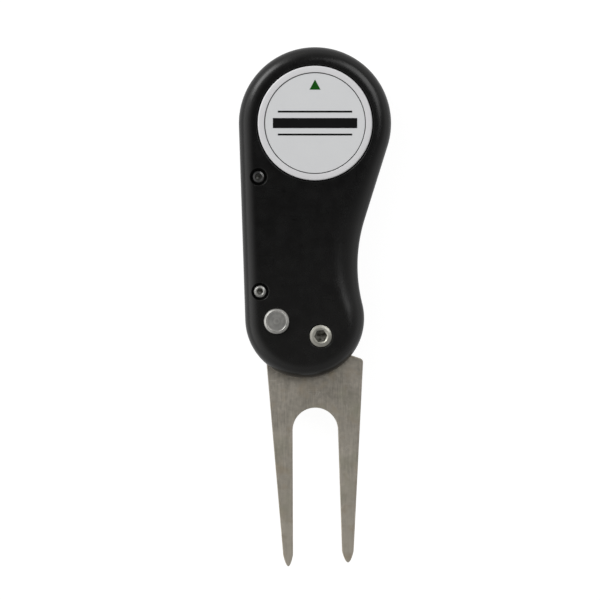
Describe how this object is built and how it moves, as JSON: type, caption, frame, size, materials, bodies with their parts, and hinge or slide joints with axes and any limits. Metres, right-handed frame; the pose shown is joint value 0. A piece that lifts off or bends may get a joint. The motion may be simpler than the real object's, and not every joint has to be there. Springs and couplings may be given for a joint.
{
  "type": "folding divot repair tool",
  "caption": "Pocket golf divot repair tool: a two-pronged steel fork folds into a black two-shell handle behind a push-button lock, with a round magnetic ball marker in the head.",
  "frame": {"origin": "where the axis of the round head and its ball marker meets the flat back that the tool rests on", "axes": "+Z out of the marker's face, +Y towards the head, -Y towards the prongs of the open fork, +X towards the finger hollow"},
  "size_m": [0.0332, 0.1134, 0.0118],
  "materials": {
    "handle_black": "satin black moulding with a fine texture",
    "fork_steel": "bead-blasted stainless steel with a fine lengthwise grain",
    "screw_steel": "bright turned steel",
    "dark_screw": "darkened steel",
    "button_steel": "turned face with fine rings",
    "brass": "knurled insert",
    "bronze": "plain washer",
    "spring_steel": "bright wire",
    "magnet_nickel": "nickel plate",
    "marker_plate": "pearl-grey lacquer on steel",
    "marker_white": "white enamel under clear resin",
    "marker_green": "green print",
    "marker_black": "black print"
  },
  "bodies": {
    "handle": {"front_shell": "handle_black", "rear_shell": "handle_black", "upper_case_screw": "dark_screw", "lower_case_screw": "screw_steel", "upper_insert": "brass", "lower_insert": "brass", "pivot_screw": "screw_steel", "pivot_sleeve": "screw_steel", "front_washer": "bronze", "rear_washer": "bronze", "magnet": "magnet_nickel", "fork_spring": "spring_steel", "button_spring": "spring_steel"},
    "fork": {"fork": "fork_steel"},
    "button": {"release_button": "button_steel"},
    "marker": {"marker_disc": "marker_plate", "marker_face": "marker_white", "marker_arrow": "marker_green", "marker_bars": "marker_black", "marker_ring": "marker_black"}
  },
  "joints": [
    {"name": "fork_fold", "type": "hinge", "parent": "handle", "child": "fork", "pos_m": [0.00126, -0.04646, 0.0055], "axis": [0, 0, 1], "range_deg": [0, 180], "stiffness_Nm_per_rad": 0.01, "springref_deg": -57.3, "deforming": ["fork_spring"]},
    {"name": "button_press", "type": "slide", "parent": "handle", "child": "button", "axis": [0, 0, -1], "range_m": [0, 0.002], "stiffness_N_per_m": 500, "springref_m": -0.001, "deforming": ["button_spring"]},
    {"name": "marker_lift", "type": "slide", "parent": "handle", "child": "marker", "axis": [0, 0, 1], "range_m": [0, 0.012]}
  ]
}
